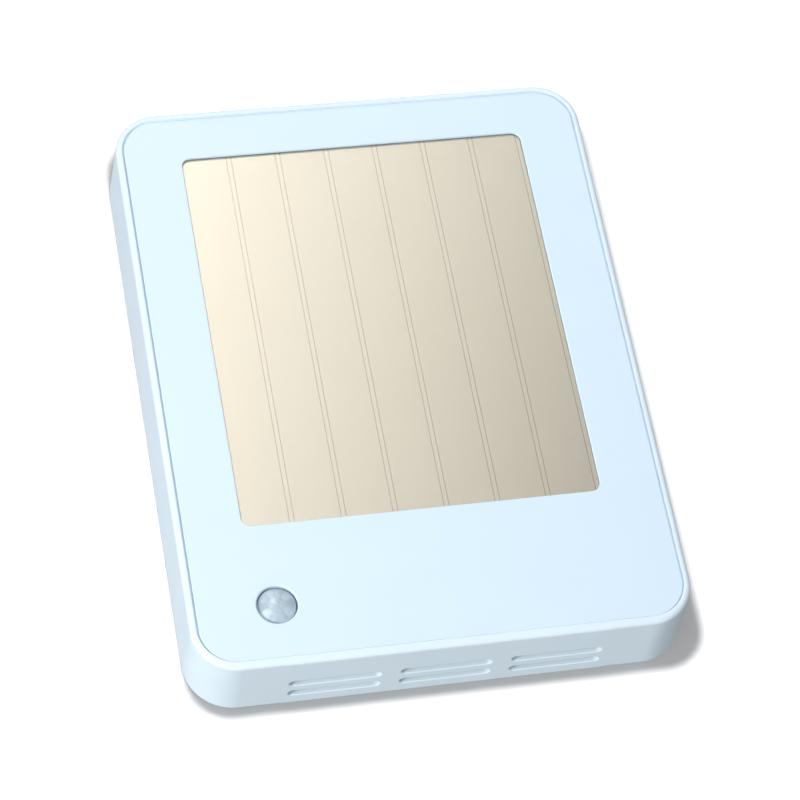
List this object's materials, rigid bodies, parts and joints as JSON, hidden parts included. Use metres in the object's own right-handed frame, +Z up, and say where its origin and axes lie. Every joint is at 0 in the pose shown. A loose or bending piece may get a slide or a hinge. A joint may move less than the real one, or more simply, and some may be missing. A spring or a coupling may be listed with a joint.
{
  "type": "light-powered wall battery unit",
  "caption": "Slim white wall unit: a framed light-cell window charges an internal battery; motion lens at lower left, vents along the bottom.",
  "frame": {"origin": "middle of the back of the housing, on the wall plane", "axes": "+X across the unit to the right as a person faces it, +Y into the wall, +Z up the wall; the front faces -Y"},
  "size_m": [0.1224, 0.0202, 0.1579],
  "materials": {
    "shell_white": "fine moulded texture",
    "panel_white": "satin",
    "bond_tape": "matt",
    "cover_film": "clear film",
    "cell_cream": "printed light-cell strip",
    "busbar_silver": "printed conductor",
    "carrier_brown": "film",
    "flex_amber": "polyimide",
    "connector_ivory": "moulded",
    "lens_milky": "milky polyethylene",
    "can_metal": "nickel plated",
    "ir_window": "dark filter",
    "gold_wire": "gold plated",
    "board_green": "solder mask",
    "screw_steel": "zinc plated",
    "module_blue": "solder mask",
    "shield_tin": "tin plated",
    "ceramic_white": "fired",
    "chip_black": "moulded epoxy",
    "ferrite_grey": "ferrite",
    "capacitor_tan": "fired",
    "foam_grey": "closed-cell foam",
    "filter_fleece": "white fleece",
    "tray_white": "moulded",
    "cell_sleeve": "plain shrink sleeve over a steel can",
    "spring_nickel": "nickel plated",
    "lead_red": "wire insulation",
    "lead_black": "wire insulation",
    "button_grey": "moulded",
    "knob_black": "moulded",
    "label_silver": "blank film",
    "plate_white": "moulded"
  },
  "bodies": {
    "wall_plate": {"wall_plate": "plate_white"},
    "unit": {"housing": "shell_white", "front_panel": "panel_white", "pv_bond_frame": "bond_tape", "pv_cover_film": "cover_film", "pv_cells": "cell_cream", "pv_busbars": "busbar_silver", "pv_carrier_film": "carrier_brown", "pv_flex_lead": "flex_amber", "pv_connector": "connector_ivory", "motion_lens": "lens_milky", "motion_sensor_can": "can_metal", "motion_sensor_window": "ir_window", "motion_sensor_pins": "gold_wire", "circuit_board": "board_green", "board_screws": "screw_steel", "radio_module": "module_blue", "radio_shield": "shield_tin", "chip_antenna": "ceramic_white", "board_chips": "chip_black", "power_inductor": "ferrite_grey", "board_capacitors": "capacitor_tan", "gas_sensor_base": "board_green", "gas_sensor_cap": "shield_tin", "climate_sensor": "chip_black", "sensor_foam_seal": "foam_grey", "vent_dust_filter": "filter_fleece", "battery_tray": "tray_white", "tray_screws": "screw_steel", "battery_cells": "cell_sleeve", "battery_springs": "spring_nickel", "battery_contacts": "spring_nickel", "battery_lead_plus": "lead_red", "battery_lead_minus": "lead_black", "battery_plug": "connector_ivory", "battery_socket": "connector_ivory", "rear_cover": "shell_white", "rear_cover_screws": "screw_steel", "reset_switch_body": "shield_tin", "power_switch_body": "shield_tin", "rating_plate": "label_silver"},
    "battery_door": {"battery_door": "shell_white", "battery_door_pad": "foam_grey"},
    "reset_button": {"reset_button": "button_grey", "reset_switch_plunger": "knob_black"},
    "power_switch_knob": {"power_switch_knob": "knob_black"}
  },
  "joints": [
    {"name": "unit_lift", "type": "slide", "parent": "wall_plate", "child": "unit", "axis": [0, 0, 1], "range_m": [0, 0.008]},
    {"name": "battery_door_hinge", "type": "hinge", "parent": "unit", "child": "battery_door", "pos_m": [0, -0.0035, 0.01], "axis": [-1, 0, 0], "range_deg": [0, 90]},
    {"name": "reset_button_press", "type": "slide", "parent": "unit", "child": "reset_button", "axis": [0, -1, 0], "range_m": [0, 0.0005], "stiffness_N_per_m": 2000},
    {"name": "power_switch_slide", "type": "slide", "parent": "unit", "child": "power_switch_knob", "axis": [1, 0, 0], "range_m": [0, 0.002]}
  ]
}
